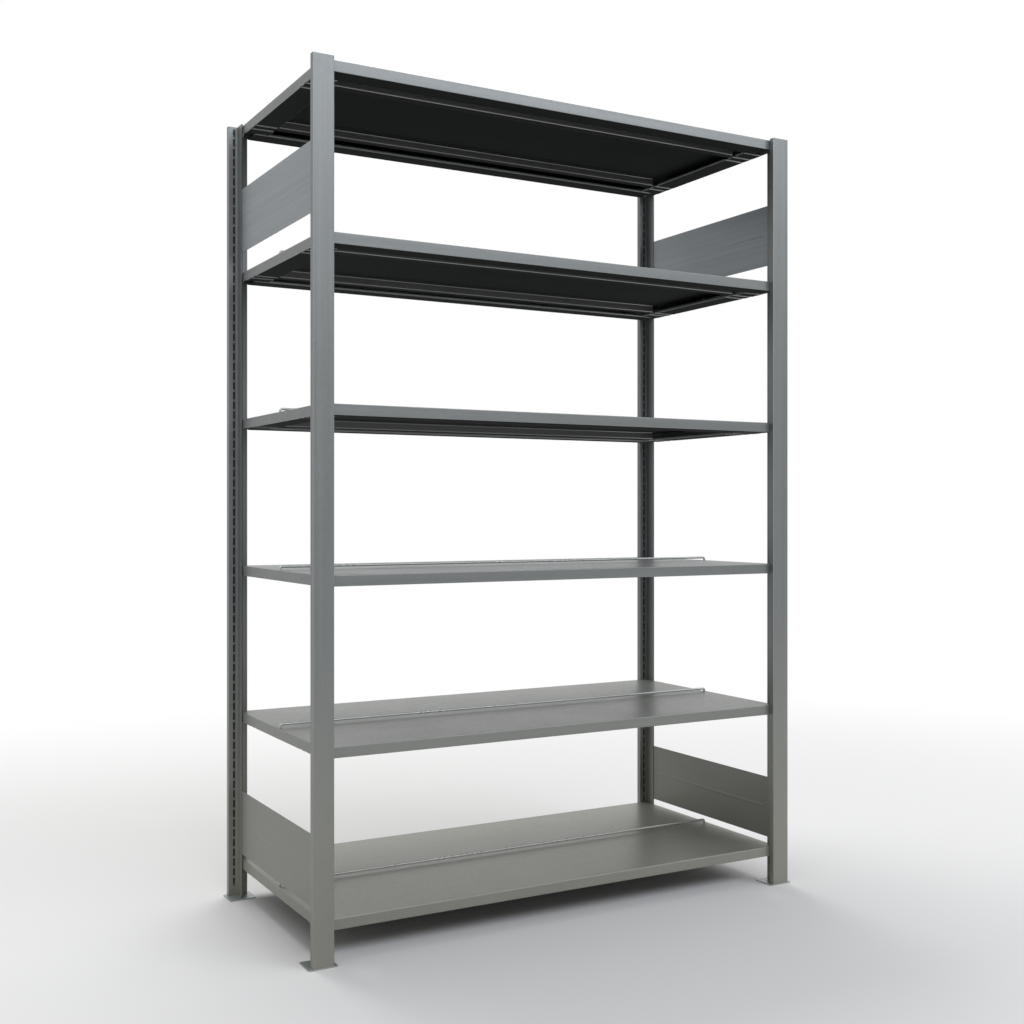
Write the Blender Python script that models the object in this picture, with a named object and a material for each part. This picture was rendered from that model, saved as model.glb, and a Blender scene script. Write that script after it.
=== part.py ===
"""Boltless steel filing rack: slotted T-posts, folded shelves on hook-in clips, slide-in end panels.

Metres, +Z up, front towards -Y, origin on the floor under the middle of the rack.
"""

import math

import bmesh
import bpy
from mathutils import Matrix, Vector

# Arrangement of the rack.
POST_PITCH = 1.285  # from post centre to post centre, left to right
SHELF_DEPTH = 0.594
SHELF_COUNT = 6
SHELF_STEP = 15  # slot pitches from one deck to the next
FIRST_SHELF_SLOT = 2  # slots below the one that carries the lowest shelf
POST_RISE = 0.003  # post top above the top deck

# Slots in the posts.
SLOT_PITCH = 0.025
SLOT_BRIDGE = 0.0055  # steel left between two slots of a row
SLOT_WIDTH = 0.004
SLOT_OFFSET = 0.0104  # from the post's middle to the middle of a row
FIRST_SLOT_HEIGHT = 0.0375

# Roll-formed posts: a hollow flange and two parallel lips that form the web.
FLANGE_WIDTH = 0.050
FLANGE_DEPTH = 0.0155
WEB_LENGTH = 0.036
POST_SHEET = 0.0012
POST_BEND = 0.0025  # radius at the middle of the sheet

# Foot plates with a tongue that stands up inside the flange.
FOOT_THICKNESS = 0.003
FOOT_MARGIN = 0.009  # plate beyond the flange at each side
FOOT_TOE = 0.0085  # plate beyond the web
FOOT_CORNER = 0.002
TONGUE_HEIGHT = 0.025

# End panels, held between the lips of the posts.
PANEL_SHEET = 0.001
PANEL_HEIGHT = 0.161
LOWER_PANEL_GAP = 0.015  # above the lowest deck
UPPER_PANEL_GAP = 0.050  # above the second deck from the top
PANEL_RETURN = 0.007  # folded end, inside the flange
BEAD_WIDTH = 0.010
BEAD_DEPTH = 0.0005
BEAD_MARGIN = 0.018  # from the end of the web to the end of the bead

# Shelves, each folded from one sheet.
SHELF_SHEET = 0.001
SHELF_EDGE = 0.025
SHELF_LIP = 0.056  # flat under the front and rear edges
END_LIP = 0.060  # flat under the left and right edges
LIP_SEAM = 0.004  # between the lips of neighbouring edges
SHELF_RETURN = 0.005
SHELF_FOLD = 0.0018
DECK_ABOVE_SLOT = 0.0125

# Hat-shaped stiffeners under each deck.
STIFFENER_SHEET = 0.001
STIFFENER_DEPTH = 0.020
STIFFENER_CROWN = 0.026
STIFFENER_FLANGE = 0.012
STIFFENER_FROM_EDGE = 0.113
STIFFENER_FROM_LIP = 0.005  # from the end lip's edge to the end of the hat

# Centre stops, bent from round bar and plugged into the deck.
STOP_RADIUS = 0.003
STOP_RISE = 0.008  # bar's middle above the deck
STOP_BEND = 0.0055
STOP_FROM_END = 0.008
STOP_TAIL = 0.006  # bar below the deck

# Shelf clips, bent from sheet.
CLIP_HOOK_DROP = 0.004
CLIP_HOOK_THICKNESS = 0.003
CLIP_REACH = 0.024
CLIP_NOSE = 0.007  # height of the blade at its far end
CLIP_LEDGE = 0.014
CLIP_LEDGE_THICKNESS = 0.0025

# Clearances.
SEAT = 0.0003  # between faces that rest on each other
SIDE_GAP = 0.0005  # shelf to flange, and shelf to web
TONGUE_PLAY = 0.0029  # foot tongue to the bends of the flange
PANEL_PLAY = 0.00025
BLADE_PLAY = 0.0004
LIFT_PLAY = 0.001  # round a clip when its shelf is lifted

BEND_STEPS = 2
FOLD_STEPS = 1
BAR_SIDES = 8
SHARP_ANGLE = math.radians(35)
CUT_OVERRUN = 0.002

# Sizes that follow from those above.
SLOT_HEIGHT = SLOT_PITCH - SLOT_BRIDGE
SLOT_COUNT = FIRST_SHELF_SLOT + (SHELF_COUNT - 1) * SHELF_STEP + 1
LIP_GAP = PANEL_SHEET + 2 * PANEL_PLAY
WEB_THICKNESS = LIP_GAP + 2 * POST_SHEET
SHELF_LENGTH = POST_PITCH - WEB_THICKNESS - 2 * SIDE_GAP
FLANGE_INNER_Y = SHELF_DEPTH / 2 + SIDE_GAP
FLANGE_OUTER_Y = FLANGE_INNER_Y + FLANGE_DEPTH
POST_FOOT_Z = FOOT_THICKNESS + SEAT
TONGUE_WIDTH = FLANGE_WIDTH - POST_SHEET - 2 * (POST_BEND + TONGUE_PLAY)
BLADE_THICKNESS = SLOT_WIDTH - 2 * BLADE_PLAY

LEFT_RIGHT = {"left": -1, "right": 1}
FRONT_REAR = {"front": -1, "rear": 1}


def slot_z(index):
    """Height of the middle of a slot."""
    return FIRST_SLOT_HEIGHT + index * SLOT_PITCH


def shelf_slot(number):
    """The slot that carries a shelf, counted from 1 at the bottom."""
    return FIRST_SHELF_SLOT + (number - 1) * SHELF_STEP


def deck_z(number):
    return slot_z(shelf_slot(number)) + DECK_ABOVE_SLOT


POST_TOP = deck_z(SHELF_COUNT) + POST_RISE


def metal(name, colour, roughness, metallic):
    material = bpy.data.materials.new(name)
    material.use_nodes = True
    shader = material.node_tree.nodes["Principled BSDF"]
    shader.inputs["Base Color"].default_value = (*colour, 1.0)
    shader.inputs["Roughness"].default_value = roughness
    shader.inputs["Metallic"].default_value = metallic
    return material


def place(name, data, material, location=(0, 0, 0), turn=0.0, parent=None):
    """One sub-part, turned about +Z and set down under its parent."""
    data.materials.clear()
    data.materials.append(material)
    part = bpy.data.objects.new(name, data)
    part.location = location
    part.rotation_euler = (0, 0, turn)
    part.parent = parent
    bpy.context.scene.collection.objects.link(part)
    return part


def empty(name, location=(0, 0, 0), parent=None):
    holder = bpy.data.objects.new(name, None)
    holder.location = location
    holder.parent = parent
    bpy.context.scene.collection.objects.link(holder)
    return holder


def to_mesh(shape, name):
    """Closes a bmesh into a mesh that faces outwards."""
    bmesh.ops.recalc_face_normals(shape, faces=shape.faces)
    mesh = bpy.data.meshes.new(name)
    shape.to_mesh(mesh)
    shape.free()
    return mesh


def shade(mesh):
    mesh.shade_smooth()
    mesh.set_sharp_from_angle(angle=SHARP_ANGLE)
    return mesh


def add_box(shape, low, high):
    size = [h - l for l, h in zip(low, high)]
    middle = [(l + h) / 2 for l, h in zip(low, high)]
    matrix = Matrix.Translation(middle) @ Matrix.Diagonal((*size, 1))
    return bmesh.ops.create_cube(shape, size=1, matrix=matrix)["verts"]


def boxes(name, corners):
    shape = bmesh.new()
    for low, high in corners:
        add_box(shape, low, high)
    return to_mesh(shape, name)


def prism(name, points, span):
    """A solid swept in a straight line from a closed outline."""
    shape = bmesh.new()
    outline = shape.faces.new([shape.verts.new(point) for point in points])
    swept = bmesh.ops.extrude_face_region(shape, geom=[outline])["geom"]
    moved = [item for item in swept if isinstance(item, bmesh.types.BMVert)]
    bmesh.ops.translate(shape, verts=moved, vec=span)
    return to_mesh(shape, name)


def round_off(shape, edges, radius, steps):
    bmesh.ops.bevel(
        shape, geom=edges, offset=radius, segments=steps, profile=0.5, affect="EDGES", material=-1
    )


def rounded(path, radius, steps=BEND_STEPS):
    """A flat path whose inner corners are replaced by arcs."""
    points = [path[0]]
    for before, corner, after in zip(path, path[1:], path[2:]):
        back = (before - corner).normalized()
        ahead = (after - corner).normalized()
        half = back.angle(ahead) / 2
        centre = corner + (back + ahead).normalized() * radius / math.sin(half)
        arm = corner + back * radius / math.tan(half) - centre
        turn = math.copysign(math.pi - 2 * half, ahead.cross(back))
        for step in range(steps + 1):
            angle = turn * step / steps
            points.append(centre + Matrix.Rotation(angle, 2) @ arm)
    points.append(path[-1])
    return points


def strip(path, thickness):
    """The closed outline of a sheet of this thickness that follows a flat path."""
    runs = [(b - a).normalized() for a, b in zip(path, path[1:])]
    left, right = [], []
    for point, before, after in zip(path, runs[:1] + runs, runs + runs[-1:]):
        normal = Vector((-before.y, before.x))
        bisector = (normal + Vector((-after.y, after.x))).normalized()
        shift = bisector * (thickness / 2 / bisector.dot(normal))
        left.append(point + shift)
        right.append(point - shift)
    return left + right[::-1]


def applied(mesh, steps):
    """The mesh after a list of modifiers, each a type and its settings."""
    host = bpy.data.objects.new("host", mesh)
    bpy.context.scene.collection.objects.link(host)
    tools = []
    for kind, settings in steps:
        modifier = host.modifiers.new(kind.lower(), kind)
        for key, value in settings.items():
            if isinstance(value, bpy.types.Mesh):
                value = bpy.data.objects.new("tool", value)
                bpy.context.scene.collection.objects.link(value)
                tools.append(value)
            setattr(modifier, key, value)
    graph = bpy.context.evaluated_depsgraph_get()
    result = bpy.data.meshes.new_from_object(host.evaluated_get(graph))
    for used in [host, *tools]:
        bpy.data.objects.remove(used)
    return result


def cut(tool):
    return "BOOLEAN", {"operation": "DIFFERENCE", "solver": "EXACT", "object": tool}


def join(tool):
    return "BOOLEAN", {"operation": "UNION", "solver": "EXACT", "object": tool}


def post_mesh():
    """A strip bent into a T: lip, half wall, outer face, half wall, lip. Local +Y runs inwards."""
    half_sheet = POST_SHEET / 2
    lip_x = LIP_GAP / 2 + half_sheet
    side_x = FLANGE_WIDTH / 2 - half_sheet
    inner_y = FLANGE_DEPTH - half_sheet
    half = [
        Vector((lip_x, FLANGE_DEPTH + WEB_LENGTH)),
        Vector((lip_x, inner_y)),
        Vector((side_x, inner_y)),
        Vector((side_x, half_sheet)),
    ]
    path = half + [Vector((-point.x, point.y)) for point in reversed(half)]
    outline = strip(rounded(path, POST_BEND), POST_SHEET)
    section = [(point.x, point.y, POST_FOOT_Z) for point in outline]
    body = prism("post", section, (0, 0, POST_TOP - POST_FOOT_Z))
    slots = []
    for side in LEFT_RIGHT.values():
        for index in range(SLOT_COUNT):
            x, z = side * SLOT_OFFSET, slot_z(index)
            low = (x - SLOT_WIDTH / 2, FLANGE_DEPTH - POST_SHEET - CUT_OVERRUN, z - SLOT_HEIGHT / 2)
            high = (x + SLOT_WIDTH / 2, FLANGE_DEPTH + CUT_OVERRUN, z + SLOT_HEIGHT / 2)
            slots.append((low, high))
    return shade(applied(body, [cut(boxes("slots", slots))]))


def foot_mesh():
    """A plate under the post, with a tongue close behind the post's outer face."""
    half_width = FLANGE_WIDTH / 2 + FOOT_MARGIN
    depth = FLANGE_DEPTH + WEB_LENGTH + FOOT_TOE
    shape = bmesh.new()
    add_box(shape, (-half_width, 0, 0), (half_width, depth, FOOT_THICKNESS))
    upright = [edge for edge in shape.edges if edge.verts[0].co.z != edge.verts[1].co.z]
    round_off(shape, upright, FOOT_CORNER, BEND_STEPS)
    plate = to_mesh(shape, "foot")
    tongue_y = POST_SHEET + SEAT
    low = (-TONGUE_WIDTH / 2, tongue_y, FOOT_THICKNESS / 2)
    high = (TONGUE_WIDTH / 2, tongue_y + FOOT_THICKNESS, FOOT_THICKNESS + TONGUE_HEIGHT)
    return applied(plate, [join(boxes("tongue", [(low, high)]))])


def panel_mesh(inward):
    """A sheet between two posts, its ends folded inside their flanges. Local origin on its lower edge."""
    end_y = FLANGE_INNER_Y + POST_SHEET + SEAT + PANEL_SHEET / 2
    path = [
        Vector((inward * PANEL_RETURN, -end_y)),
        Vector((0, -end_y)),
        Vector((0, end_y)),
        Vector((inward * PANEL_RETURN, end_y)),
    ]
    outline = strip(path, PANEL_SHEET)
    sheet = prism("panel", [(point.x, point.y, 0) for point in outline], (0, 0, PANEL_HEIGHT))
    half_length = FLANGE_INNER_Y - WEB_LENGTH - BEAD_MARGIN

    def bead(name, low_x, high_x, half_width, half_run):
        """A bar with 45 degree flanks along the middle of the panel."""
        profile = []
        for x, up in ((low_x, -1), (high_x, -1), (high_x, 1), (low_x, 1)):
            profile.append((inward * x, -half_run, PANEL_HEIGHT / 2 + up * (half_width - x)))
        return prism(name, profile, (0, 2 * half_run, 0))

    face_x = PANEL_SHEET / 2
    rib = bead("rib", 0, face_x + BEAD_DEPTH, BEAD_WIDTH / 2, half_length)
    groove_half = BEAD_WIDTH / 2 - math.sqrt(2) * PANEL_SHEET
    groove_floor = BEAD_DEPTH - face_x
    groove = bead("groove", -face_x - CUT_OVERRUN, groove_floor, groove_half, half_length - PANEL_SHEET)
    return applied(sheet, [join(rib), cut(groove)])


def middle_of(edge, half_run):
    """Splits an edge twice and returns the middle piece, half_run to each side of its middle."""
    first, last = edge.verts
    share = 0.5 - half_run / edge.calc_length()
    near = bmesh.utils.edge_split(edge, first, share)[1]
    rest = next(piece for piece in near.link_edges if last in piece.verts)
    far = bmesh.utils.edge_split(rest, last, share / (1 - share))[1]
    return next(piece for piece in near.link_edges if far in piece.verts)


def drawn_out(shape, edge, shift):
    """A new strip of sheet from an edge; returns its far edge."""
    grown = bmesh.ops.extrude_edge_only(shape, edges=[edge])["geom"]
    moved = [item for item in grown if isinstance(item, bmesh.types.BMVert)]
    bmesh.ops.translate(shape, verts=moved, vec=shift)
    return next(far for far in moved[0].link_edges if moved[1] in far.verts)


def fold_lip(shape, edge, inward, width):
    """Bends a wall's foot inwards into a lip with an upturned return."""
    up = Vector((0, 0, 1))
    centre = edge.verts[0].co + inward * SHELF_FOLD
    bent = bmesh.ops.spin(
        shape,
        geom=[edge, *edge.verts],
        cent=centre,
        axis=inward.cross(up),
        angle=math.pi / 2,
        steps=FOLD_STEPS,
    )["geom_last"]
    foot = next(item for item in bent if isinstance(item, bmesh.types.BMEdge))
    lip = drawn_out(shape, foot, inward * (width - SHELF_FOLD))
    drawn_out(shape, lip, up * SHELF_RETURN)


def shelf_mesh():
    """A tray whose walls turn in to wide flat lips. They stop short of the corners, where the clips pass."""
    shape = bmesh.new()
    half_length, half_depth = SHELF_LENGTH / 2, SHELF_DEPTH / 2
    wall_foot = -SHELF_EDGE + SHELF_FOLD
    add_box(shape, (-half_length, -half_depth, wall_foot), (half_length, half_depth, 0))
    floor = min(shape.faces, key=lambda face: face.calc_center_median().z)
    bmesh.ops.delete(shape, geom=[floor], context="FACES_ONLY")
    folds = [edge for edge in shape.edges if edge.is_manifold]
    round_off(shape, folds, SHELF_FOLD, FOLD_STEPS)
    blade_x = POST_PITCH / 2 - SLOT_OFFSET
    lip_half_x = blade_x - BLADE_THICKNESS / 2 - CLIP_LEDGE - LIFT_PLAY
    clear_of_clip = FLANGE_INNER_Y - CLIP_REACH - LIFT_PLAY
    lip_half_y = min(clear_of_clip, half_depth - SHELF_LIP - LIP_SEAM)
    feet = [edge for edge in shape.edges if edge.is_boundary and edge.calc_length() > SHELF_DEPTH / 2]
    for foot in feet:
        across = foot.verts[0].co.x != foot.verts[1].co.x
        half_run, width = (lip_half_x, SHELF_LIP) if across else (lip_half_y, END_LIP)
        middle = middle_of(foot, half_run)
        outward = middle.verts[0].co.xy + middle.verts[1].co.xy
        fold_lip(shape, middle, -outward.normalized().to_3d(), width)
    bmesh.ops.recalc_face_normals(shape, faces=shape.faces)
    sheet = bpy.data.meshes.new("shelf")
    shape.to_mesh(sheet)
    shape.free()

    notch_half = BLADE_THICKNESS / 2 + LIFT_PLAY
    notch_top = clip_neck_top() - DECK_ABOVE_SLOT + LIFT_PLAY
    notches = []
    for side in LEFT_RIGHT.values():
        for end in FRONT_REAR.values():
            spans = [
                sorted((side * (blade_x - notch_half), side * (blade_x + notch_half))),
                sorted((end * (half_depth - SHELF_SHEET - CUT_OVERRUN), end * (half_depth + CUT_OVERRUN))),
                (-SHELF_EDGE - CUT_OVERRUN, notch_top),
            ]
            notches.append(tuple(zip(*spans)))
    holes = bmesh.new()
    hole_radius = (STOP_RADIUS + SEAT) / math.cos(math.pi / BAR_SIDES)
    for side in LEFT_RIGHT.values():
        bmesh.ops.create_cone(
            holes,
            cap_ends=True,
            segments=BAR_SIDES,
            radius1=hole_radius,
            radius2=hole_radius,
            depth=2 * (SHELF_SHEET + CUT_OVERRUN),
            matrix=Matrix.Translation((side * stop_leg_x(), 0, 0)),
        )
    steps = [
        ("SOLIDIFY", {"thickness": SHELF_SHEET, "offset": -1, "use_even_offset": True}),
        cut(boxes("notches", notches)),
        cut(to_mesh(holes, "holes")),
    ]
    return shade(applied(sheet, steps))


def stiffener_mesh():
    """A hat section with its crown down, as long as the deck less its end margins."""
    top = -SHELF_SHEET - SEAT - STIFFENER_SHEET / 2
    crown = top - STIFFENER_DEPTH + STIFFENER_SHEET
    wall = STIFFENER_CROWN / 2 - STIFFENER_SHEET / 2
    half = [
        Vector((-wall - STIFFENER_FLANGE, top)),
        Vector((-wall, top)),
        Vector((-wall, crown)),
    ]
    path = half + [Vector((-point.x, point.y)) for point in reversed(half)]
    half_length = SHELF_LENGTH / 2 - END_LIP - STIFFENER_FROM_LIP
    section = [(-half_length, point.x, point.y) for point in strip(path, STIFFENER_SHEET)]
    return prism("stiffener", section, (2 * half_length, 0, 0))


def stop_leg_x():
    return SHELF_LENGTH / 2 - STOP_FROM_END


def stop_curve():
    """A round bar along the deck, its ends bent down through the deck."""
    leg_x, foot_z = stop_leg_x(), -SHELF_SHEET - STOP_TAIL
    route = [(-leg_x, foot_z), (-leg_x, STOP_RISE), (leg_x, STOP_RISE), (leg_x, foot_z)]
    points = rounded([Vector(point) for point in route], STOP_BEND)
    curve = bpy.data.curves.new("centre_stop", "CURVE")
    curve.dimensions = "3D"
    curve.bevel_depth = STOP_RADIUS
    curve.bevel_resolution = BAR_SIDES // 2 - 2
    curve.use_fill_caps = True
    line = curve.splines.new("POLY")
    line.points.add(len(points) - 1)
    for knot, point in zip(line.points, points):
        knot.co = (point.x, 0, point.y, 1)
    return curve


def clip_neck_top():
    """Top of the blade where it passes the slot, from the slot's middle; low enough to hook in."""
    return SLOT_HEIGHT / 2 - CLIP_HOOK_DROP - LIFT_PLAY + SEAT


def clip_mesh(hand):
    """A hooked blade with a ledge folded towards the bay. Local origin at the slot, on the inner face."""
    neck_bottom = -SLOT_HEIGHT / 2 + SEAT
    hook_front = -POST_SHEET - SEAT
    hook_back = hook_front - CLIP_HOOK_THICKNESS
    ledge_top = DECK_ABOVE_SLOT - SHELF_SHEET - SEAT
    rise_y = SIDE_GAP + SHELF_SHEET + SHELF_FOLD + LIFT_PLAY
    half_blade = BLADE_THICKNESS / 2
    outline = [
        (hook_back, neck_bottom - CLIP_HOOK_DROP),
        (hook_front, neck_bottom - CLIP_HOOK_DROP),
        (hook_front, neck_bottom),
        (rise_y, neck_bottom),
        (CLIP_REACH, ledge_top - CLIP_NOSE),
        (CLIP_REACH, ledge_top),
        (rise_y, ledge_top),
        (rise_y, clip_neck_top()),
        (hook_back, clip_neck_top()),
    ]
    blade = prism("clip", [(-half_blade, y, z) for y, z in outline], (BLADE_THICKNESS, 0, 0))
    ledge_x = sorted((0, hand * (half_blade + CLIP_LEDGE)))
    spans = [ledge_x, (rise_y, CLIP_REACH), (ledge_top - CLIP_LEDGE_THICKNESS, ledge_top)]
    return applied(blade, [join(boxes("ledge", [tuple(zip(*spans))]))])


def clear_scene():
    for old in list(bpy.data.objects):
        bpy.data.objects.remove(old)


clear_scene()
post_steel = metal("post_steel", (0.27, 0.29, 0.30), 0.42, 0.85)
foot_steel = metal("foot_steel", (0.36, 0.39, 0.40), 0.30, 0.90)
panel_steel = metal("panel_steel", (0.25, 0.27, 0.28), 0.45, 0.80)
shelf_steel = metal("shelf_steel", (0.26, 0.28, 0.29), 0.42, 0.85)
stiffener_steel = metal("stiffener_steel", (0.24, 0.26, 0.26), 0.45, 0.85)
stop_steel = metal("stop_steel", (0.40, 0.42, 0.43), 0.32, 0.95)
clip_steel = metal("clip_steel", (0.38, 0.40, 0.41), 0.38, 0.95)

frame = empty("frame")
post, foot = post_mesh(), foot_mesh()
clips = {hand: clip_mesh(hand) for hand in (-1, 1)}
for depth_name, end in FRONT_REAR.items():
    for side_name, side in LEFT_RIGHT.items():
        corner = f"{depth_name}_{side_name}"
        turn = 0.0 if end < 0 else math.pi
        x, y = side * POST_PITCH / 2, end * FLANGE_OUTER_Y
        place(f"post_{corner}", post, post_steel, (x, y, 0), turn, frame)
        place(f"foot_{corner}", foot, foot_steel, (x, y, 0), turn, frame)
        bay_hand = side * end
        clip_x, clip_y = x - side * SLOT_OFFSET, end * FLANGE_INNER_Y
        for number in range(1, SHELF_COUNT + 1):
            spot = (clip_x, clip_y, slot_z(shelf_slot(number)))
            place(f"shelf_{number}_clip_{corner}", clips[bay_hand], clip_steel, spot, turn, frame)

panel_heights = {
    "lower": deck_z(1) + LOWER_PANEL_GAP,
    "upper": deck_z(SHELF_COUNT - 1) + UPPER_PANEL_GAP,
}
for side_name, side in LEFT_RIGHT.items():
    panel = panel_mesh(-side)
    for level, z in panel_heights.items():
        spot = (side * POST_PITCH / 2, 0, z)
        place(f"side_panel_{side_name}_{level}", panel, panel_steel, spot, 0.0, frame)

shelf, stiffener, stop = shelf_mesh(), stiffener_mesh(), stop_curve()
stiffener_y = SHELF_DEPTH / 2 - STIFFENER_FROM_EDGE
for number in range(1, SHELF_COUNT + 1):
    lift = empty(f"shelf_{number}_lift", (0, 0, deck_z(number)))
    place(f"shelf_{number}", shelf, shelf_steel, parent=lift)
    for depth_name, end in FRONT_REAR.items():
        spot = (0, end * stiffener_y, 0)
        place(f"shelf_{number}_stiffener_{depth_name}", stiffener, stiffener_steel, spot, parent=lift)
    if number < SHELF_COUNT:
        place(f"centre_stop_{number}", stop, stop_steel, parent=lift)
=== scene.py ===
"""Looks of the boltless shelving rack: zinc-coated sheet steel on a pale studio floor."""

import math

import bmesh
import bpy
from mathutils import Matrix, Vector


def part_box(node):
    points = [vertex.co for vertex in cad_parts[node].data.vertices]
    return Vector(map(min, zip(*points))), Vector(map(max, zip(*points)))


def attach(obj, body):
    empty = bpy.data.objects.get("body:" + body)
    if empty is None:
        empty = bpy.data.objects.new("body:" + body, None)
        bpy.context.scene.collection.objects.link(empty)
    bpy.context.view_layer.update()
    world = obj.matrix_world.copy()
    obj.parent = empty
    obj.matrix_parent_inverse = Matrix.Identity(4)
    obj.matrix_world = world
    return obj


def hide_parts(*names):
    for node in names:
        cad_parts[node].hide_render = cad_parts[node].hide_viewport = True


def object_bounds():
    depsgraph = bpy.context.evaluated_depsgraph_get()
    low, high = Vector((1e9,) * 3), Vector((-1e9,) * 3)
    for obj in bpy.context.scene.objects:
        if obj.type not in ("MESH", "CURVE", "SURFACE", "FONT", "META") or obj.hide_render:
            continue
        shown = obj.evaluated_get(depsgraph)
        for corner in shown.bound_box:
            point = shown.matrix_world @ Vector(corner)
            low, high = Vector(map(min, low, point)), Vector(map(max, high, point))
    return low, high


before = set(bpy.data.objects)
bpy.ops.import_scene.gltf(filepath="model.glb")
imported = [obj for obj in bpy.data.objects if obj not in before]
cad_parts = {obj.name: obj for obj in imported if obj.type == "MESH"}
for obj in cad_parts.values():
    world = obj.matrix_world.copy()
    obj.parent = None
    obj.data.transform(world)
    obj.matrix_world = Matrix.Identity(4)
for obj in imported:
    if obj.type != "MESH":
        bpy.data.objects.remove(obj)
cad_low, cad_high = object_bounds()


# Camera.
# It stands in front of the rack, off to its left, at half its height and looks level at its middle.
EYE = (-1.639, -2.912, 0.988)
HEADING = math.radians(-29.378)
LENS_MM = 44.83
SENSOR_MM = 36.0

camera_data = bpy.data.cameras.new("camera")
camera_data.lens = LENS_MM
camera_data.sensor_width = SENSOR_MM
camera = bpy.data.objects.new("camera", camera_data)
camera.location = EYE
camera.rotation_euler = (math.pi / 2, 0, HEADING)
bpy.context.scene.collection.objects.link(camera)
bpy.context.scene.camera = camera
bpy.context.scene.view_settings.view_transform = "Standard"


# Studio floor and light.
# A pale matt floor that fades to white away from the rack, in an even white room with a wide soft
# box high behind the rack and a long cooler one high in front, which brightens the upper part of
# the steel.
FLOOR_HALF = 40.0
FLOOR_TONE = (0.75, 0.75, 0.75, 1.0)
FADE_FROM = 0.6
FADE_TO = 3.2
WHITE = (1.0, 1.0, 1.0, 1.0)
ROOM_TONE = (1.0, 0.99, 0.965, 1.0)
ROOM_LEVEL = 0.53
SOFT_BOXES = {
    "rear_box": {
        "place": (0.0, 2.4, 5.6),
        "size": (4.0, 3.0),
        "watts": 195.0,
        "tint": (1.0, 1.0, 1.0),
    },
    "front_box": {
        "place": (0.9, -5.6, 4.6),
        "size": (10.0, 2.2),
        "watts": 300.0,
        "tint": (0.90, 0.93, 1.0),
    },
}


def linked(tree, kind, **inputs):
    """A new shader node. Each input, named or i and its number, is a value or the socket that feeds it."""
    node = tree.nodes.new(kind)
    for name, value in inputs.items():
        key = int(name[1:]) if name[1:].isdigit() else name.replace("_", " ")
        socket = node.inputs[key]
        if isinstance(value, bpy.types.NodeSocket):
            tree.links.new(value, socket)
        else:
            socket.default_value = value
    return node


def math_node(tree, operation, first, second=0.0):
    node = linked(tree, "ShaderNodeMath", i0=first, i1=second)
    node.operation = operation
    return node.outputs[0]


def vector_node(tree, operation, first, second=(0.0, 0.0, 0.0)):
    node = linked(tree, "ShaderNodeVectorMath", i0=first, i1=second)
    node.operation = operation
    return node.outputs[0]


def seen_directly(tree):
    """1 for rays from the camera and for those mirrored or let through on the way to it."""
    path = tree.nodes.new("ShaderNodeLightPath").outputs
    seen = math_node(tree, "MAXIMUM", path["Is Camera Ray"], path["Is Glossy Ray"])
    return math_node(tree, "MAXIMUM", seen, path["Is Transmission Ray"])


def plain_object(name, shape):
    """An object at the origin made of a finished shape."""
    mesh = bpy.data.meshes.new(name)
    shape.to_mesh(mesh)
    shape.free()
    made = bpy.data.objects.new(name, mesh)
    bpy.context.scene.collection.objects.link(made)
    return made


floor_shape = bmesh.new()
bmesh.ops.create_grid(floor_shape, x_segments=1, y_segments=1, size=FLOOR_HALF)
floor = plain_object("studio_floor", floor_shape)
floor_paint = bpy.data.materials.new("studio_floor")
floor_paint.use_nodes = True
tree = floor_paint.node_tree
tree.nodes.clear()
place = tree.nodes.new("ShaderNodeTexCoord").outputs["Object"]
quarter = vector_node(tree, "ABSOLUTE", place)
beyond = vector_node(tree, "SUBTRACT", quarter, (cad_high.x, cad_high.y, 0.0))
beyond = vector_node(tree, "MAXIMUM", beyond, (0.0, 0.0, 0.0))
reach = linked(tree, "ShaderNodeVectorMath", i0=beyond)
reach.operation = "LENGTH"
fade = linked(
    tree, "ShaderNodeMapRange", Value=reach.outputs["Value"], From_Min=FADE_FROM, From_Max=FADE_TO
)
fade.interpolation_type = "SMOOTHSTEP"
matt = linked(tree, "ShaderNodeBsdfDiffuse", Color=FLOOR_TONE)
white = linked(tree, "ShaderNodeEmission", Color=WHITE, Strength=1.0)
share = math_node(tree, "MULTIPLY", fade.outputs["Result"], seen_directly(tree))
mixed = linked(tree, "ShaderNodeMixShader", i0=share, i1=matt.outputs[0], i2=white.outputs[0])
linked(tree, "ShaderNodeOutputMaterial", Surface=mixed.outputs[0])
floor.data.materials.append(floor_paint)

room = bpy.data.worlds.new("room")
room.use_nodes = True
bpy.context.scene.world = room
tree = room.node_tree
tree.nodes.clear()
lit = linked(tree, "ShaderNodeBackground", Color=ROOM_TONE, Strength=ROOM_LEVEL)
shown = linked(tree, "ShaderNodeBackground", Color=WHITE, Strength=1.0)
share = seen_directly(tree)
mixed = linked(tree, "ShaderNodeMixShader", i0=share, i1=lit.outputs[0], i2=shown.outputs[0])
linked(tree, "ShaderNodeOutputWorld", Surface=mixed.outputs[0])

for name, box in SOFT_BOXES.items():
    lamp = bpy.data.lights.new(name, "AREA")
    lamp.shape = "RECTANGLE"
    lamp.size, lamp.size_y = box["size"]
    lamp.energy = box["watts"]
    lamp.color = box["tint"]
    stand = bpy.data.objects.new(name, lamp)
    stand.location = box["place"]
    aim = Vector((0, 0, cad_high.z / 2)) - stand.location
    stand.rotation_euler = aim.to_track_quat("-Z", "Y").to_euler()
    bpy.context.scene.collection.objects.link(stand)


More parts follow.
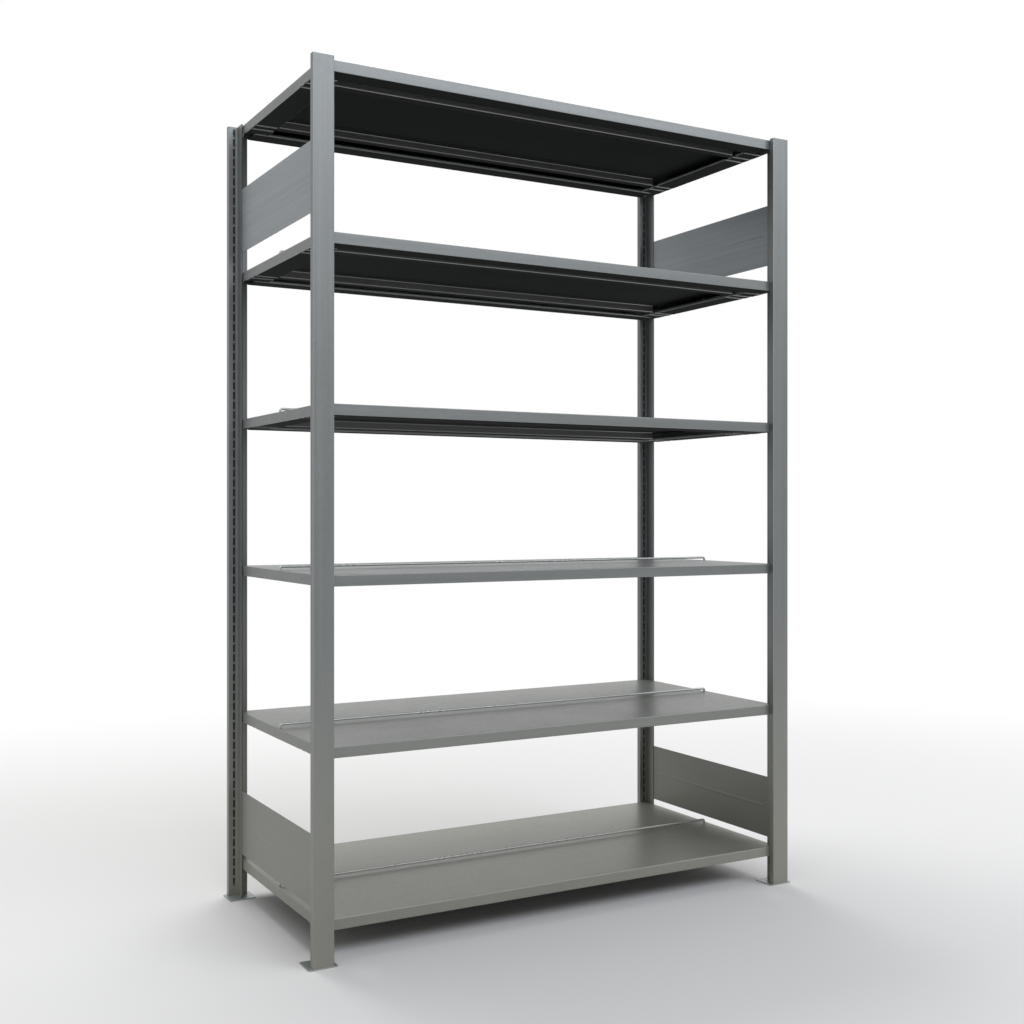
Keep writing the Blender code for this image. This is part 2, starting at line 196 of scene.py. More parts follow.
# Zinc-coated sheet.
# Every piece is cold-rolled steel sheet or bar with a dull zinc coat: faint lines along the way
# it was rolled, a fine spangle in the zinc, cloudy patches from handling, bends brightened by wear
# and a painted highlight, painted shade that darkens faces that look down, and low down a lighter,
# warmer tone of floor dust and painted floor light.
LINES = {"Scale": 420.0, "Detail": 3.0}
BANDS = {"Scale": 90.0, "Detail": 2.0}
CLOUDS = {"Scale": 5.0, "Detail": 4.0, "Roughness": 0.6}
SPANGLE_SCALE = 150.0
ROLLED_OUT = (1.0, 1.0, 0.012)
TONE_REACH = {"lines": 0.10, "bands": 0.30, "flakes": 0.03, "clouds": 0.10}
DULL_REACH = {"clouds": 0.14, "lines": 0.10, "flakes": 0.06}
BEND_WEAR_AND_HIGHLIGHT_RANGE = (0.985, 0.90)
BEND_WEAR_AND_HIGHLIGHT_GAIN = 0.6
SHADED_UNDERSIDE_RANGE = (-0.90, -0.99)
SHADED_UNDERSIDE_SHARE = 0.11
SHADED_UNDERSIDE_DULLNESS = 0.6
DUST_AND_FLOOR_LIGHT_TONE = (0.268, 0.268, 0.232, 1.0)
DUST_AND_FLOOR_LIGHT_REACH = 0.75
DUST_AND_FLOOR_LIGHT_CLOUDS = 0.6
DUST_AND_FLOOR_LIGHT_SHARE = 0.5
RELIEF_CLOUDS = 2.0
RELIEF_DEPTH = 0.00003
RELIEF_STRENGTH = 0.35
METAL_SHARE = 0.5
SHEEN_LEVEL = 0.10
ALONG_Z = (0.0, 0.0, 0.0)
ALONG_X = (0.0, math.pi / 2, 0.0)
ALONG_Y = (math.pi / 2, 0.0, 0.0)


def zinc_group():
    """The zinc's colour, roughness and relief at a place, and how much painted shade darkens it there."""
    group = bpy.data.node_groups.new("rolled_zinc", "ShaderNodeTree")
    inputs = {"Place": "Vector", "Rolled": "Vector", "Facing": "Vector"}
    inputs |= {"Tint": "Color", "Dullness": "Float", "Dust And Floor Light": "Float", "Underside Shade Share": "Float", "Wear And Highlight": "Float"}
    outputs = {"Color": "Color", "Roughness": "Float", "Height": "Float", "Underside Shade": "Float"}
    for way, sockets in (("INPUT", inputs), ("OUTPUT", outputs)):
        for name, kind in sockets.items():
            group.interface.new_socket(name, in_out=way, socket_type=f"NodeSocket{kind}")
    given = group.nodes.new("NodeGroupInput").outputs
    stretched = linked(group, "ShaderNodeMapping", Vector=given["Rolled"], Scale=ROLLED_OUT).outputs[0]
    spangle = linked(group, "ShaderNodeTexVoronoi", Vector=given["Place"], Scale=SPANGLE_SCALE)
    marks = {
        "lines": linked(group, "ShaderNodeTexNoise", Vector=stretched, **LINES).outputs[0],
        "bands": linked(group, "ShaderNodeTexNoise", Vector=stretched, **BANDS).outputs[0],
        "flakes": linked(group, "ShaderNodeSeparateColor", i0=spangle.outputs["Color"]).outputs[0],
        "clouds": linked(group, "ShaderNodeTexNoise", Vector=given["Place"], **CLOUDS).outputs[0],
    }

    def centred(mark, reach):
        """A mark's value, which runs from 0 to 1, about zero and scaled to its reach."""
        return math_node(group, "MULTIPLY", math_node(group, "SUBTRACT", marks[mark], 0.5), reach)

    def ramp(value, start, end):
        return linked(group, "ShaderNodeMapRange", Value=value, From_Min=start, From_Max=end).outputs[0]

    unsigned = vector_node(group, "ABSOLUTE", given["Facing"])
    slants = linked(group, "ShaderNodeSeparateXYZ", i0=unsigned).outputs
    square_on = math_node(group, "MAXIMUM", slants["X"], slants["Y"])
    square_on = math_node(group, "MAXIMUM", square_on, slants["Z"])
    # Bends are brightened by wear and a painted highlight.
    worn_and_highlit = ramp(square_on, *BEND_WEAR_AND_HIGHLIGHT_RANGE)
    # Faces that look down are darkened with painted shade, and made rougher.
    upward = linked(group, "ShaderNodeSeparateXYZ", i0=given["Facing"]).outputs["Z"]
    underside_shade = math_node(group, "MULTIPLY", ramp(upward, *SHADED_UNDERSIDE_RANGE), given["Underside Shade Share"])

    shade = 1.0
    for mark, reach in TONE_REACH.items():
        shade = math_node(group, "ADD", centred(mark, reach), shade)
    shade = math_node(group, "ADD", math_node(group, "MULTIPLY", worn_and_highlit, given["Wear And Highlight"]), shade)
    underside_shade_share = math_node(group, "MULTIPLY", underside_shade, SHADED_UNDERSIDE_SHARE - 1.0)
    shade = math_node(group, "MULTIPLY", shade, math_node(group, "ADD", underside_shade_share, 1.0))
    bare = vector_node(group, "MULTIPLY", given["Tint"], shade)

    # Low down the colour turns lighter and warmer: floor dust and painted floor light.
    height = linked(group, "ShaderNodeSeparateXYZ", i0=given["Place"]).outputs["Z"]
    patchy = math_node(group, "ADD", centred("clouds", DUST_AND_FLOOR_LIGHT_CLOUDS), 1.0)
    thin = math_node(group, "MULTIPLY", patchy, given["Dust And Floor Light"])
    dust_and_floor_light = math_node(group, "MULTIPLY", ramp(height, DUST_AND_FLOOR_LIGHT_REACH, 0.0), thin)
    dust_and_floor_light = math_node(group, "MULTIPLY", dust_and_floor_light, math_node(group, "SUBTRACT", 1.0, underside_shade))
    tone = linked(group, "ShaderNodeMix", Factor=dust_and_floor_light)
    tone.data_type = "RGBA"
    group.links.new(bare, tone.inputs["A"])
    tone.inputs["B"].default_value = DUST_AND_FLOOR_LIGHT_TONE

    dull = math_node(group, "MULTIPLY", underside_shade, SHADED_UNDERSIDE_DULLNESS)
    dull = math_node(group, "ADD", given["Dullness"], dull)
    for mark, reach in DULL_REACH.items():
        dull = math_node(group, "ADD", centred(mark, reach), dull)
    relief = math_node(group, "ADD", marks["lines"], centred("clouds", RELIEF_CLOUDS))
    out = group.nodes.new("NodeGroupOutput")
    group.links.new(tone.outputs["Result"], out.inputs["Color"])
    group.links.new(dull, out.inputs["Roughness"])
    group.links.new(relief, out.inputs["Height"])
    group.links.new(underside_shade, out.inputs["Underside Shade"])
    return group


ROLLED_ZINC = zinc_group()


def zinc_steel(name, rolled, tint, dullness, dust_and_floor_light=DUST_AND_FLOOR_LIGHT_SHARE, underside_shade_share=1.0, wear_and_highlight=BEND_WEAR_AND_HIGHLIGHT_GAIN):
    """Zinc-coated steel whose rolling lines run the given way."""
    steel = bpy.data.materials.new(name)
    steel.use_nodes = True
    tree = steel.node_tree
    shader = tree.nodes["Principled BSDF"]
    shader.inputs["Specular IOR Level"].default_value = SHEEN_LEVEL
    where = tree.nodes.new("ShaderNodeTexCoord").outputs
    turned = linked(tree, "ShaderNodeMapping", Vector=where["Object"], Rotation=rolled).outputs[0]
    skin = tree.nodes.new("ShaderNodeGroup")
    skin.node_tree = ROLLED_ZINC
    tree.links.new(where["Object"], skin.inputs["Place"])
    tree.links.new(turned, skin.inputs["Rolled"])
    tree.links.new(where["Normal"], skin.inputs["Facing"])
    skin.inputs["Tint"].default_value = (*tint, 1.0)
    skin.inputs["Dullness"].default_value = dullness
    skin.inputs["Dust And Floor Light"].default_value = dust_and_floor_light
    skin.inputs["Underside Shade Share"].default_value = underside_shade_share
    skin.inputs["Wear And Highlight"].default_value = wear_and_highlight
    tree.links.new(skin.outputs["Color"], shader.inputs["Base Color"])
    tree.links.new(skin.outputs["Roughness"], shader.inputs["Roughness"])
    # The painted shade on faces that look down also makes them less metallic.
    bright = math_node(tree, "MULTIPLY_ADD", skin.outputs["Underside Shade"], -METAL_SHARE)
    bright.node.inputs[2].default_value = METAL_SHARE
    tree.links.new(bright, shader.inputs["Metallic"])
    bump = linked(tree, "ShaderNodeBump", Strength=RELIEF_STRENGTH, Distance=RELIEF_DEPTH)
    tree.links.new(skin.outputs["Height"], bump.inputs["Height"])
    tree.links.new(bump.outputs[0], shader.inputs["Normal"])
    return steel


# Posts.
# Each is one strip of 1.2 mm steel, roll-formed to a T with two lips for its web,
# and punched with two rows of slots before it is bent.
POST_ZINC = {"tint": (0.170, 0.181, 0.181), "dullness": 0.36, "dust_and_floor_light": 1.0}
# The inside of the hollow flange is painted near black: painted shade.
HOLLOW_PAINTED_SHADE = {"tint": (0.014, 0.015, 0.015), "dullness": 0.7, "dust_and_floor_light": 0.0}
POST_SHEET = 0.0012
FLANGE_DEPTH = 0.0155
LIP_GAP = 0.0015
OUTER_BEND = 0.0024
INNER_BEND = 0.0016
SLOT_PITCH = 0.025
SLOT_SIZE = (0.004, 0.0195)
SLOT_OFFSET = 0.0104
SLOT_MARGIN = 0.0004
SLOT_CORNER = 0.0012
SLOT_STEPS = 3
FIRST_SLOT = 0.0375
BEND_STEPS = 4
ROUND_STEPS = 5
ROUND_PROFILE = 0.5
SHARP = math.radians(32)
CORNERS = [f"{end}_{side}" for end in ("front", "rear") for side in ("left", "right")]


def bevel(shape, geom, size, steps, affect="EDGES"):
    """Rounds edges or corners in steps; the new faces take the material beside them."""
    bmesh.ops.bevel(
        shape,
        geom=geom,
        offset=size,
        segments=steps,
        profile=ROUND_PROFILE,
        affect=affect,
        material=-1,
    )


def path_of(shape, points):
    """A chain of edges through the points."""
    knots = [shape.verts.new(point) for point in points]
    for start, end in zip(knots, knots[1:]):
        shape.edges.new((start, end))
    return knots


def swept(shape, edges, shift):
    """Draws the edges out into a sheet and returns the edges at its far side."""
    grown = bmesh.ops.extrude_edge_only(shape, edges=edges)["geom"]
    far = {item for item in grown if isinstance(item, bmesh.types.BMVert)}
    bmesh.ops.translate(shape, verts=list(far), vec=shift)
    return [item for item in grown if isinstance(item, bmesh.types.BMEdge) and far.issuperset(item.verts)]


def face_at(shape, spot):
    """The face whose middle is nearest to the spot."""
    return min(shape.faces, key=lambda face: (face.calc_center_median() - Vector(spot)).length)


def facing(shape, spot, way):
    """Turns an open sheet so that its face at the spot looks the given way."""
    bmesh.ops.recalc_face_normals(shape, faces=shape.faces)
    if face_at(shape, spot).normal.dot(Vector(way)) < 0:
        bmesh.ops.reverse_faces(shape, faces=shape.faces)


def thickened(shape, sheet, lining=0):
    """Gives an open sheet its thickness, behind its faces, and the new faces a material's number."""
    for item in bmesh.ops.solidify(shape, geom=shape.faces[:], thickness=sheet)["geom"]:
        if isinstance(item, bmesh.types.BMFace):
            item.material_index = lining


def corner_matrix(node):
    """From a shape that runs inwards from y = 0 to the corner of the rack where its node stands."""
    low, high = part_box(node)
    outer, turn = (low.y, 0) if low.y < 0 else (high.y, math.pi)
    return Matrix.Translation(((low.x + high.x) / 2, outer, 0)) @ Matrix.Rotation(turn, 4, "Z")


def placed(name, shape, matrix, steels, body, node):
    """One finished piece that stands for a node of the frame."""
    piece = plain_object(name, shape)
    piece.data.transform(matrix)
    piece.data.shade_smooth()
    piece.data.set_sharp_from_angle(angle=SHARP)
    for steel in steels:
        piece.data.materials.append(steel)
    piece.modifiers.new("flat_walls", "WEIGHTED_NORMAL").keep_sharp = True
    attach(piece, body)
    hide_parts(node)


def slot_faces(shape):
    """The faces whose middle is the middle of a slot."""
    found = []
    for face in shape.faces:
        spot = face.calc_center_median()
        row = (spot.z - FIRST_SLOT) / SLOT_PITCH
        in_column = abs(abs(spot.x) - SLOT_OFFSET) < SLOT_MARGIN
        in_row = abs(row - round(row)) < SLOT_MARGIN / SLOT_PITCH
        if in_column and in_row and spot.y > FLANGE_DEPTH / 2:
            found.append(face)
    return found


def post_shape(width, depth, foot, top):
    """Local x across the flange, local y from its outer face inwards."""
    shape = bmesh.new()
    lip = LIP_GAP / 2 + POST_SHEET
    near = SLOT_OFFSET - SLOT_SIZE[0] / 2 - SLOT_MARGIN
    far = SLOT_OFFSET + SLOT_SIZE[0] / 2 + SLOT_MARGIN
    half = [(lip, depth), (lip, FLANGE_DEPTH), (near, FLANGE_DEPTH), (far, FLANGE_DEPTH)]
    half += [(width / 2, FLANGE_DEPTH), (width / 2, 0)]
    points = [(x, y, foot) for x, y in half] + [(-x, y, foot) for x, y in reversed(half)]
    knots = path_of(shape, points)
    outer_corners = knots[5:7]
    inner_corners = [knots[index] for index in (1, 4, 7, 10)]
    bevel(shape, outer_corners, OUTER_BEND, ROUND_STEPS, "VERTICES")
    bevel(shape, inner_corners, INNER_BEND, BEND_STEPS, "VERTICES")
    edge = shape.edges[:]
    level = foot
    slot_half = SLOT_SIZE[1] / 2 + SLOT_MARGIN
    count = int((top - FIRST_SLOT) / SLOT_PITCH) + 1
    levels = [FIRST_SLOT + i * SLOT_PITCH + way * slot_half for i in range(count) for way in (-1, 1)]
    for height in [*levels, top]:
        edge = swept(shape, edge, (0, 0, height - level))
        level = height
    cells = slot_faces(shape)
    bmesh.ops.inset_individual(shape, faces=cells, thickness=SLOT_MARGIN)
    corners = list({corner for cell in cells for corner in cell.verts})
    bevel(shape, corners, SLOT_CORNER, SLOT_STEPS, "VERTICES")
    bmesh.ops.delete(shape, geom=slot_faces(shape), context="FACES_ONLY")
    facing(shape, (0, 0, (foot + top) / 2), (0, -1, 0))
    # The faces behind the sheet, inside the hollow, take the near-black painted shade.
    thickened(shape, POST_SHEET, lining=1)
    return shape


post_steel = zinc_steel("post_steel", ALONG_Z, **POST_ZINC)
hollow_painted_shade_steel = zinc_steel("hollow_painted_shade_steel", ALONG_Z, **HOLLOW_PAINTED_SHADE)
post_steels = [post_steel, hollow_painted_shade_steel]
for corner in CORNERS:
    node = f"post_{corner}"
    low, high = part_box(node)
    shape = post_shape(high.x - low.x, high.y - low.y, low.z, high.z)
    placed(f"slotted_{node}", shape, corner_matrix(node), post_steels, "frame", node)


# Foot plates.
# Each is a 3 mm zinc-plated steel plate with a softened rim that carries one post, tinted lighter
# than the sheet as painted light against the rack's shade over it; the tongue welded to it stands up
# inside the post's hollow flange.
# The plate's lighter tint is painted light against the shade of the rack over it.
FOOT_ZINC = {"tint": (0.33, 0.362, 0.352), "dullness": 0.34, "dust_and_floor_light": 0.1}
FOOT_THICKNESS = 0.003
FOOT_CORNER = 0.002
FOOT_RIM = 0.0005
TONGUE_WIDTH = 0.038
TONGUE_GAP = 0.0015
RIM_STEPS = 2
SMALLEST = 0.00001


def block(shape, middle, size):
    """A box round its middle."""
    matrix = Matrix.Translation(middle) @ Matrix.Diagonal((*size, 1))
    bmesh.ops.create_cube(shape, size=1, matrix=matrix)


def cut_across(shape, spot, way):
    """A straight cut through the whole shape, which stays in one piece."""
    geom = [*shape.verts, *shape.edges, *shape.faces]
    bmesh.ops.bisect_plane(shape, geom=geom, dist=SMALLEST, plane_co=spot, plane_no=way)


def outer_edges(shape, floor):
    """The sharp outward edges at or above a height."""
    shape.normal_update()
    above = [edge for edge in shape.edges if min(end.co.z for end in edge.verts) > floor - SMALLEST]
    return [edge for edge in above if edge.is_convex and edge.calc_face_angle() > SHARP]


def foot_shape(width, depth, top):
    """Local x across the plate, local y from its outer edge inwards."""
    shape = bmesh.new()
    block(shape, (0, depth / 2, FOOT_THICKNESS / 2), (width, depth, FOOT_THICKNESS))
    uprights = [edge for edge in shape.edges if abs(edge.verts[0].co.z - edge.verts[1].co.z) > SMALLEST]
    bevel(shape, uprights, FOOT_CORNER, ROUND_STEPS)
    for side in (-1, 1):
        cut_across(shape, (side * TONGUE_WIDTH / 2, 0, 0), (1, 0, 0))
    for back in (TONGUE_GAP, TONGUE_GAP + FOOT_THICKNESS):
        cut_across(shape, (0, back, 0), (0, 1, 0))
    root = face_at(shape, (0, TONGUE_GAP + FOOT_THICKNESS / 2, FOOT_THICKNESS))
    grown = bmesh.ops.extrude_face_region(shape, geom=[root])["geom"]
    tip = [item for item in grown if isinstance(item, bmesh.types.BMVert)]
    bmesh.ops.translate(shape, verts=tip, vec=(0, 0, top - FOOT_THICKNESS))
    bmesh.ops.delete(shape, geom=[root], context="FACES_ONLY")
    bevel(shape, outer_edges(shape, FOOT_THICKNESS), FOOT_RIM, RIM_STEPS)
    return shape


foot_steel = zinc_steel("foot_steel", ALONG_X, **FOOT_ZINC)
for corner in CORNERS:
    node = f"foot_{corner}"
    low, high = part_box(node)
    shape = foot_shape(high.x - low.x, high.y - low.y, high.z)
    placed(f"plated_{node}", shape, corner_matrix(node), [foot_steel], "frame", node)


# End panels.
# Each is a low 1 mm sheet that slides down between the lips of two posts; its ends are folded
# to catch inside the flanges, and one shallow bead is pressed along its middle. The upper ones are
# tinted lighter and bluer, the lower ones darker and warmer: painted light and painted shade.
# Upper panels are painted lighter and bluer, lower ones darker and warmer: painted light and painted
# shade.
PANEL_LIT_AND_SHADED_TINTS = {"lower": (0.165, 0.180, 0.172), "upper": (0.236, 0.258, 0.274)}
PANEL_ZINC = {"dullness": 0.38, "dust_and_floor_light": 0.8}
PANEL_SHEET = 0.001
PANEL_BEND = 0.0013
BEAD_WIDTH = 0.010
BEAD_LENGTH = 0.487
BEAD_MARGIN = 0.0004
BEAD_CORNER = BEAD_WIDTH * 0.42
BEAD_STEPS = ((0.0010, 0.00006), (0.0016, 0.00018), (0.0010, 0.00006))


def panel_shape(length, height, thickness, inward):
    """Local x from the middle of the sheet, local z from its lower edge."""
    shape = bmesh.new()
    face_x = -inward * PANEL_SHEET / 2
    end_x = inward * (thickness - PANEL_SHEET / 2)
    run = [(end_x, -length / 2, 0), (face_x, -length / 2, 0)]
    run += [(face_x, length / 2, 0), (end_x, length / 2, 0)]
    knots = path_of(shape, run)
    bevel(shape, knots[1:3], PANEL_BEND, BEND_STEPS, "VERTICES")
    edge = shape.edges[:]
    level = 0.0
    for height_now in (height / 2 - BEAD_WIDTH / 2, height / 2 + BEAD_WIDTH / 2, height):
        edge = swept(shape, edge, (0, 0, height_now - level))
        level = height_now
    for end in (-1, 1):
        cut_across(shape, (0, end * BEAD_LENGTH / 2, 0), (0, 1, 0))
    middle = (face_x, 0, height / 2)
    facing(shape, middle, (-inward, 0, 0))
    bmesh.ops.inset_individual(shape, faces=[face_at(shape, middle)], thickness=BEAD_MARGIN)
    bevel(shape, face_at(shape, middle).verts[:], BEAD_CORNER, ROUND_STEPS, "VERTICES")
    for step, sink in BEAD_STEPS:
        bmesh.ops.inset_region(shape, faces=[face_at(shape, middle)], thickness=step, depth=-sink)
        middle = (middle[0] + inward * sink, 0, height / 2)
    thickened(shape, PANEL_SHEET)
    return shape


for level, tint in PANEL_LIT_AND_SHADED_TINTS.items():
    panel_steel = zinc_steel(f"panel_steel_{level}", ALONG_Y, tint, **PANEL_ZINC)
    for side, inward in (("left", 1), ("right", -1)):
        node = f"side_panel_{side}_{level}"
        low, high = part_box(node)
        shape = panel_shape(high.y - low.y, high.z - low.z, high.x - low.x, inward)
        outer = low.x if inward > 0 else high.x
        matrix = Matrix.Translation((outer + inward * PANEL_SHEET / 2, (low.y + high.y) / 2, low.z))
        placed(f"beaded_{node}", shape, matrix, [panel_steel], "frame", node)


# Shelf clips.
# Four under each shelf, pressed from steel and zinc-plated: a blade whose hook drops behind
# the edge of a slot, with a ledge folded over at the top for the shelf to lie on.
CLIP_ZINC = {"tint": (0.34, 0.36, 0.365), "dullness": 0.32}
CLIP_BEND = 0.0018
CLIP_EDGE = 0.0003
FLAT = math.radians(1)
SHELVES = range(1, 7)

clip_steel = zinc_steel("clip_steel", ALONG_Y, **CLIP_ZINC)
for number in SHELVES:
    for corner in CORNERS:
        node = f"shelf_{number}_clip_{corner}"
        low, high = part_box(node)
        shape = bmesh.new()
        shape.from_mesh(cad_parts[node].data)
        bmesh.ops.remove_doubles(shape, verts=shape.verts, dist=SMALLEST)
        bmesh.ops.dissolve_limit(shape, angle_limit=FLAT, verts=shape.verts, edges=shape.edges)
        outer_x = low.x if low.x < 0 else high.x
        folded = [
            edge
            for edge in outer_edges(shape, high.z)
            if all(abs(end.co.x - outer_x) < SMALLEST for end in edge.verts)
        ]
        bevel(shape, folded, CLIP_BEND, BEND_STEPS)
        bevel(shape, outer_edges(shape, low.z), CLIP_EDGE, RIM_STEPS)
        placed(f"hooked_{node}", shape, Matrix(), [clip_steel], "frame", node)


# Shelves.
# Each is folded from one 1 mm sheet: a flat deck with a turned-down wall on all four sides, whose
# foot turns in to a wide flat lip with an upturned hem. The long walls are notched for the clips,
# and the end lips are slit in line with the stiffeners, with the edges of the slits turned up.
SHELF_ZINC = {"tint": (0.170, 0.181, 0.181), "dullness": 0.36, "dust_and_floor_light": 0.9}
SHELF_SHEET = 0.001
SHELF_EDGE = 0.025
LONG_LIP = 0.056
END_LIP = 0.060
LIP_SEAM = 0.004
LIP_SLITS = (0.163, 0.195)
SLIT_WIDTH = 0.008
SHELF_HEM = 0.005
SHELF_BEND = 0.0018
LIP_BEND = 0.0010
HEM_BEND = 0.003
LIP_FROM_END = 0.02455
NOTCH_FROM_END = 0.00795
NOTCH_HALF = 0.0026
NOTCH_TOP = -0.00645
STOP_HOLE_FROM_END = 0.008
STOP_HOLE_RADIUS = 0.0033
STOP_HOLE_CUTS = 4


def astride(edge, axis, border):
    """Whether an edge crosses a border along an axis."""
    first, last = edge.verts
    return (first.co[axis] > border) != (last.co[axis] > border)


def runs_of(edge, axis, spans):
    """Splits a straight edge where the spans along an axis end, and returns its pieces over them."""
    pieces = [edge]
    for border in sorted(end for span in spans for end in span):
        piece = next(part for part in pieces if astride(part, axis, border))
        first, last = piece.verts
        share = (border - first.co[axis]) / (last.co[axis] - first.co[axis])
        pieces.append(bmesh.utils.edge_split(piece, first, share)[0])
    middles = [(piece, sum(end.co[axis] for end in piece.verts) / 2) for piece in pieces]
    return [piece for piece, middle in middles if any(low < middle < high for low, high in spans)]


def end_lip_spans(half_run):
    """The pieces of an end lip from one seam to the other, between its slits."""
    slits = sorted(way * slit for slit in LIP_SLITS for way in (-1, 1))
    starts = [-half_run + HEM_BEND] + [slit + SLIT_WIDTH / 2 + HEM_BEND for slit in slits]
    ends = [slit - SLIT_WIDTH / 2 - HEM_BEND for slit in slits] + [half_run - HEM_BEND]
    return list(zip(starts, ends))


def bent(shape, edges, centre, axis, steps=BEND_STEPS):
    """Folds a sheet's edges through a right angle and returns the edges at the far side."""
    ends = {end for edge in edges for end in edge.verts}
    turned = bmesh.ops.spin(
        shape, geom=[*edges, *ends], cent=centre, axis=axis, angle=math.pi / 2, steps=steps
    )["geom_last"]
    return [item for item in turned if isinstance(item, bmesh.types.BMEdge)]


def hemmed(shape, edge, inward, width, flared):
    """Turns the foot of a wall inwards into a lip whose inner edge, or whose ends too, turn up."""
    up = Vector((0, 0, 1))
    [near] = bent(shape, [edge], edge.verts[0].co + inward * LIP_BEND, inward.cross(up))
    hem_bend = LIP_BEND if flared else HEM_BEND
    [far] = swept(shape, [near], inward * (width - LIP_BEND - hem_bend))
    if flared:
        [flat] = set(near.link_faces) & set(far.link_faces)
        middle = flat.calc_center_median()
        for side in set(flat.edges) - {near, far}:
            outward = (side.verts[0].co + side.verts[1].co) / 2 - middle
            bent(shape, [side], side.verts[0].co + up * HEM_BEND, outward.normalized().cross(up))
    hem = bent(shape, [far], far.verts[0].co + up * hem_bend, inward.cross(up))
    swept(shape, hem, up * (SHELF_HEM - hem_bend))


def bored(shape, spot, radius):
    """A round hole through the deck."""
    for way in (-1, 1):
        cut_across(shape, (spot.x + way * 2 * radius, 0, 0), (1, 0, 0))
        cut_across(shape, (0, spot.y + way * 2 * radius, 0), (0, 1, 0))
    cell = face_at(shape, spot)
    bmesh.ops.inset_individual(shape, faces=[cell], thickness=radius)
    bmesh.ops.subdivide_edges(shape, edges=cell.edges[:], cuts=STOP_HOLE_CUTS)
    rim = face_at(shape, spot)
    for knot in rim.verts:
        knot.co = spot + (knot.co - spot).normalized() * radius
    bmesh.ops.delete(shape, geom=[rim], context="FACES_ONLY")


def shelf_shape(length, depth):
    """The top of the deck lies at z = 0."""
    shape = bmesh.new()
    wall_foot = -SHELF_EDGE + LIP_BEND
    block(shape, (0, 0, wall_foot / 2), (length, depth, -wall_foot))
    bmesh.ops.delete(shape, geom=[face_at(shape, (0, 0, wall_foot))], context="FACES_ONLY")
    bevel(shape, [edge for edge in shape.edges if edge.is_manifold], SHELF_BEND, BEND_STEPS)
    feet = [edge for edge in shape.edges if edge.is_boundary and edge.calc_length() > depth / 2]
    long_half = length / 2 - LIP_FROM_END
    end_spans = end_lip_spans(depth / 2 - LONG_LIP - LIP_SEAM)
    for foot in feet:
        middle = (foot.verts[0].co + foot.verts[1].co) / 2
        inward = -Vector((middle.x, middle.y, 0)).normalized()
        if abs(middle.x) < SMALLEST:
            for run in runs_of(foot, 0, [(-long_half, long_half)]):
                hemmed(shape, run, inward, LONG_LIP, flared=False)
        else:
            for run in runs_of(foot, 1, end_spans):
                hemmed(shape, run, inward, END_LIP, flared=True)
    for side in (-1, 1):
        for reach in (-NOTCH_HALF, NOTCH_HALF):
            cut_across(shape, (side * (length / 2 - NOTCH_FROM_END) + reach, 0, 0), (1, 0, 0))
    cut_across(shape, (0, 0, NOTCH_TOP), (0, 0, 1))
    notches = []
    for face in shape.faces:
        spot = face.calc_center_median()
        in_notch = abs(abs(spot.x) - (length / 2 - NOTCH_FROM_END)) < NOTCH_HALF
        if in_notch and spot.z < NOTCH_TOP and abs(spot.y) > depth / 2 - SMALLEST:
            notches.append(face)
    bmesh.ops.delete(shape, geom=notches, context="FACES")
    for side in (-1, 1):
        bored(shape, Vector((side * (length / 2 - STOP_HOLE_FROM_END), 0, 0)), STOP_HOLE_RADIUS)
    facing(shape, (0, 0, 0), (0, 0, 1))
    thickened(shape, SHELF_SHEET)
    return shape


shelf_steel = zinc_steel("shelf_steel", ALONG_X, **SHELF_ZINC)
for number in SHELVES:
    node = f"shelf_{number}"
    body = f"shelf_set_{number}"
    low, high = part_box(node)
    shape = shelf_shape(high.x - low.x, high.y - low.y)
    matrix = Matrix.Translation((0, 0, high.z))
    placed(f"folded_{node}", shape, matrix, [shelf_steel], body, node)


# Stiffeners.
# Two hat sections of 1 mm sheet run along the underside of each deck and are spot-welded to it
# by their flanges, so that the long deck doesn't sag under its load.
# Its bends are painted brighter still, as painted highlight and wear, and its faces that look down are
# darkened a little less by the painted shade.
STIFFENER_ZINC = {"tint": (0.12, 0.125, 0.12), "dullness": 0.36, "underside_shade_share": 0.9, "wear_and_highlight": 1.7}
STIFFENER_SHEET = 0.001
STIFFENER_CROWN = 0.026
STIFFENER_BEND = 0.0026


def stiffener_shape(length, width, depth):
    """Local z from the top of the flanges, which lie against the deck."""
    shape = bmesh.new()
    end = -length / 2
    half = [(width / 2, -STIFFENER_SHEET), (STIFFENER_CROWN / 2, -STIFFENER_SHEET)]
    half += [(STIFFENER_CROWN / 2, -depth)]
    run = [(end, y, z) for y, z in half] + [(end, -y, z) for y, z in reversed(half)]
    knots = path_of(shape, run)
    bevel(shape, knots[1:5], STIFFENER_BEND, BEND_STEPS, "VERTICES")
    swept(shape, shape.edges[:], (length, 0, 0))
    facing(shape, (0, 0, -depth), (0, 0, -1))
    thickened(shape, STIFFENER_SHEET)
    return shape


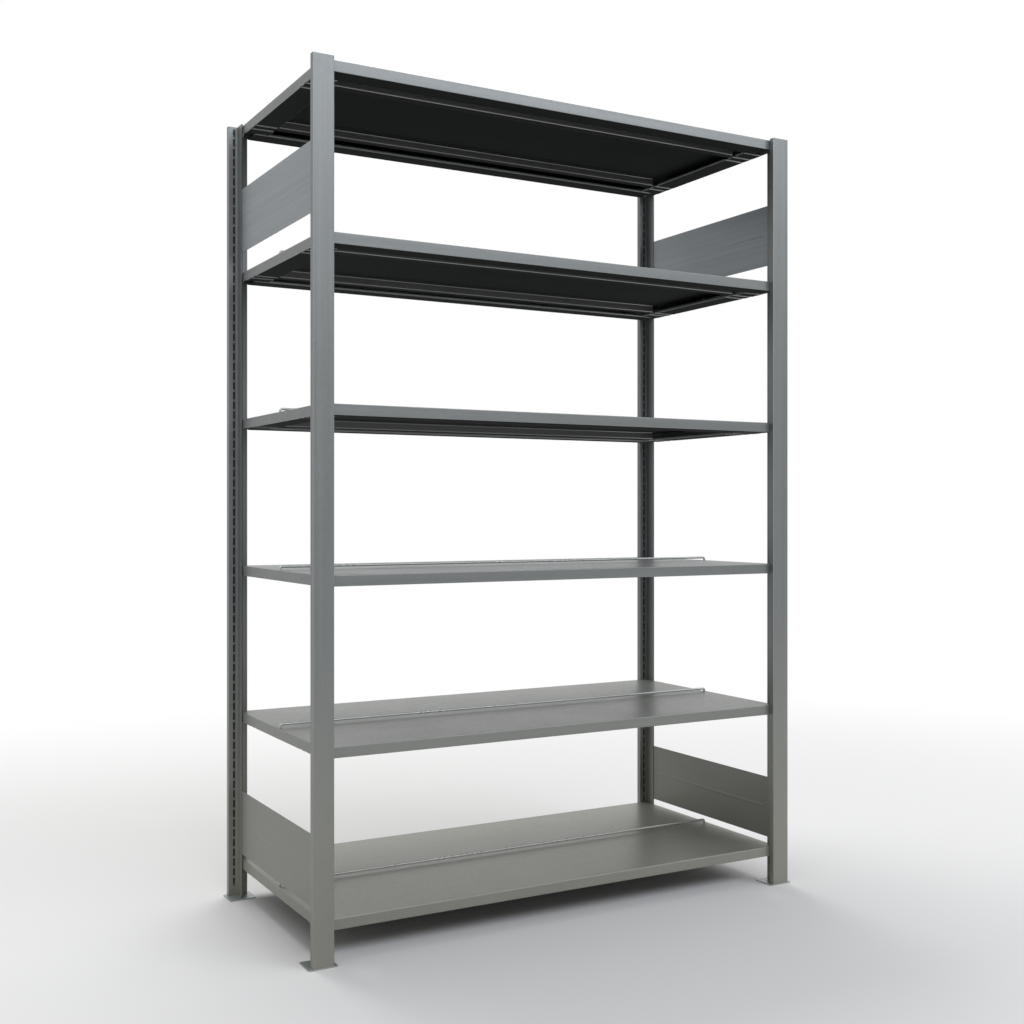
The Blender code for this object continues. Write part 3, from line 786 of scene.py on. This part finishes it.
stiffener_steel = zinc_steel("stiffener_steel", ALONG_X, **STIFFENER_ZINC)
for number in SHELVES:
    body = f"shelf_set_{number}"
    for end in ("front", "rear"):
        node = f"shelf_{number}_stiffener_{end}"
        low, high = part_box(node)
        shape = stiffener_shape(high.x - low.x, high.y - low.y, high.z - low.z)
        matrix = Matrix.Translation((0, (low.y + high.y) / 2, high.z))
        placed(f"hat_{node}", shape, matrix, [stiffener_steel], body, node)


# Centre stops.
# A 6 mm drawn steel bar along the middle of a deck, bent down at both ends and plugged into
# two holes, so that what is pushed in from either side stops there.
STOP_ZINC = {"tint": (0.33, 0.345, 0.335), "dullness": 0.30}
STOP_RADIUS = 0.003
STOP_BEND = 0.0055
STOP_BEND_STEPS = 8
STOP_SIDES = 16


def stop_shape(low, high):
    """A ring of edges drawn up one leg, along the deck and down the other leg."""
    shape = bmesh.new()
    leg_x = high.x - STOP_RADIUS
    bar_z = high.z - STOP_RADIUS
    start = Matrix.Translation((leg_x, (low.y + high.y) / 2, low.z))
    bmesh.ops.create_circle(shape, cap_ends=True, radius=STOP_RADIUS, segments=STOP_SIDES, matrix=start)
    rise = bar_z - STOP_BEND - low.z
    ring = swept(shape, shape.edges[:], (0, 0, rise))
    ring = bent(shape, ring, (leg_x - STOP_BEND, 0, bar_z - STOP_BEND), (0, -1, 0), STOP_BEND_STEPS)
    ring = swept(shape, ring, (-2 * (leg_x - STOP_BEND), 0, 0))
    ring = bent(shape, ring, (-leg_x + STOP_BEND, 0, bar_z - STOP_BEND), (0, -1, 0), STOP_BEND_STEPS)
    ring = swept(shape, ring, (0, 0, -rise))
    bmesh.ops.edgeloop_fill(shape, edges=ring)
    bmesh.ops.recalc_face_normals(shape, faces=shape.faces)
    return shape


stop_steel = zinc_steel("stop_steel", ALONG_X, **STOP_ZINC)
for number in SHELVES[:-1]:
    node = f"centre_stop_{number}"
    body = f"shelf_set_{number}"
    shape = stop_shape(*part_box(node))
    placed(f"drawn_{node}", shape, Matrix(), [stop_steel], body, node)
